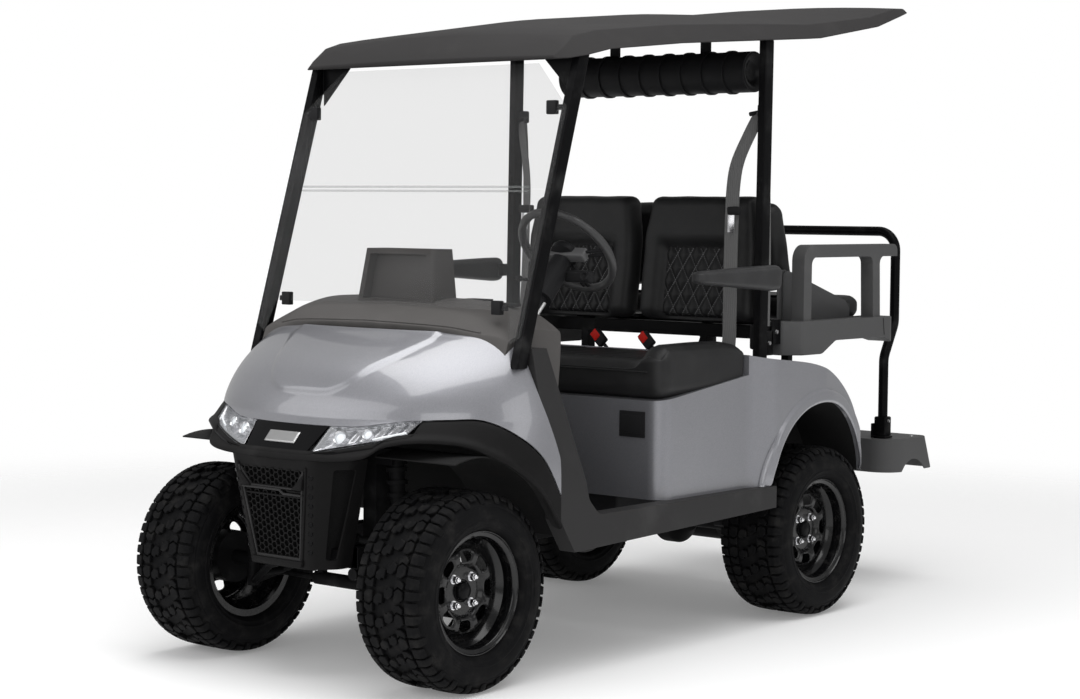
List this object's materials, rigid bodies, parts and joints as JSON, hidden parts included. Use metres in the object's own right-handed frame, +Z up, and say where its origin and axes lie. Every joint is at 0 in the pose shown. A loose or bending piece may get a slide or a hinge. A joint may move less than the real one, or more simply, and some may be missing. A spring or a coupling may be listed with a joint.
{
  "type": "four-seat golf cart",
  "caption": "Lifted electric golf cart with roof, folding windshield, front bench, rear-facing seat and foot step.",
  "frame": {"origin": "on the ground, on the centre plane, at the middle of the overall length", "axes": "+X to the cart's left, -Y to its front, +Z up"},
  "size_m": [1.217, 2.8994, 2.0607],
  "materials": {
    "tyre": "moulded rubber",
    "rim": "gloss black enamel",
    "steel": "satin black powder coat",
    "chassis": "black chassis paint",
    "paint": "silver metallic",
    "dark_plastic": "grained moulded plastic",
    "grey_plastic": "grained moulded plastic",
    "roof_plastic": "grained moulded plastic",
    "black_plastic": "gloss moulded plastic",
    "vinyl": "stitched vinyl",
    "rubber": "ribbed mat",
    "clear": "clear sheet",
    "lamp": "clear lens over chrome",
    "webbing": "woven webbing"
  },
  "bodies": {
    "cart": {"front_arms": "chassis", "front_coilovers": "chassis", "rack_housing": "chassis", "frame_rails": "chassis", "cross_members": "chassis", "frame_brackets": "chassis", "hitch_plate": "chassis", "rear_axle": "chassis", "leaf_springs": "chassis", "rear_shocks": "chassis", "front_cowl": "paint", "headlamps": "lamp", "badge_panel": "black_plastic", "fascia_band": "dark_plastic", "fender_flares": "dark_plastic", "lower_fascia": "dark_plastic", "grille": "black_plastic", "wheel_liners": "dark_plastic", "dash": "grey_plastic", "dash_pod": "grey_plastic", "steering_column": "steel", "floor_pan": "dark_plastic", "floor_mat": "rubber", "pedals": "steel", "rockers": "dark_plastic", "rear_body": "paint", "battery": "black_plastic", "seat_backs": "vinyl", "rear_seat_backs": "vinyl", "armrests": "vinyl", "seat_frame": "steel", "rear_trays": "dark_plastic", "grab_bar": "steel", "foot_step": "dark_plastic", "front_posts": "steel", "rear_posts": "steel", "windshield_lower": "clear", "windshield_upper": "clear", "roof": "roof_plastic", "sound_bar": "black_plastic", "seat_belts": "webbing"},
    "wheel_front_left": {"tyre_front_left": "tyre", "rim_front_left": "rim"},
    "wheel_front_right": {"tyre_front_right": "tyre", "rim_front_right": "rim"},
    "wheel_rear_left": {"tyre_rear_left": "tyre", "rim_rear_left": "rim"},
    "wheel_rear_right": {"tyre_rear_right": "tyre", "rim_rear_right": "rim"},
    "upright_left": {"knuckle_left": "chassis"},
    "upright_right": {"knuckle_right": "chassis"},
    "rack_slider": {"rack_bar": "chassis"},
    "hand_wheel": {"steering_wheel": "black_plastic"},
    "bench": {"front_cushion": "vinyl"},
    "rear_bench": {"rear_cushion": "vinyl"}
  },
  "joints": [
    {"name": "steer_left", "type": "hinge", "parent": "cart", "child": "upright_left", "pos_m": [0.345, -1.17025, 0.3], "axis": [0, 0, 1], "range_deg": [-25, 25]},
    {"name": "steer_right", "type": "hinge", "parent": "cart", "child": "upright_right", "pos_m": [-0.345, -1.17025, 0.3], "axis": [0, 0, 1], "range_deg": [-25, 25]},
    {"name": "roll_front_left", "type": "hinge", "parent": "upright_left", "child": "wheel_front_left", "pos_m": [0.451, -1.17025, 0.2795], "axis": [1, 0, 0], "continuous": true},
    {"name": "roll_rear_left", "type": "hinge", "parent": "cart", "child": "wheel_rear_left", "pos_m": [0.486, 0.49875, 0.2795], "axis": [1, 0, 0], "continuous": true},
    {"name": "roll_front_right", "type": "hinge", "parent": "upright_right", "child": "wheel_front_right", "pos_m": [-0.451, -1.17025, 0.2795], "axis": [1, 0, 0], "continuous": true},
    {"name": "roll_rear_right", "type": "hinge", "parent": "cart", "child": "wheel_rear_right", "pos_m": [-0.486, 0.49875, 0.2795], "axis": [1, 0, 0], "continuous": true},
    {"name": "rack_travel", "type": "slide", "parent": "cart", "child": "rack_slider", "axis": [1, 0, 0], "range_m": [-0.06, 0.06]},
    {"name": "hand_wheel_turn", "type": "hinge", "parent": "cart", "child": "hand_wheel", "pos_m": [0.272, -0.45425, 1.206], "axis": [0, 0.6691, 0.7431], "range_deg": [-300, 300]},
    {"name": "bench_tip", "type": "hinge", "parent": "cart", "child": "bench", "pos_m": [0, 0.09375, 0.87853], "axis": [-1, 0, 0], "range_deg": [0, 68]},
    {"name": "rear_bench_tip", "type": "hinge", "parent": "cart", "child": "rear_bench", "pos_m": [0, 0.63675, 1.0413], "axis": [1, 0, 0], "range_deg": [0, 80]}
  ],
  "couplings": [
    {"joint": "steer_right", "follows": "steer_left", "ratio": 1},
    {"joint": "rack_travel", "follows": "steer_left", "m_per_rad": -0.10848},
    {"joint": "hand_wheel_turn", "follows": "steer_left", "ratio": 12}
  ]
}
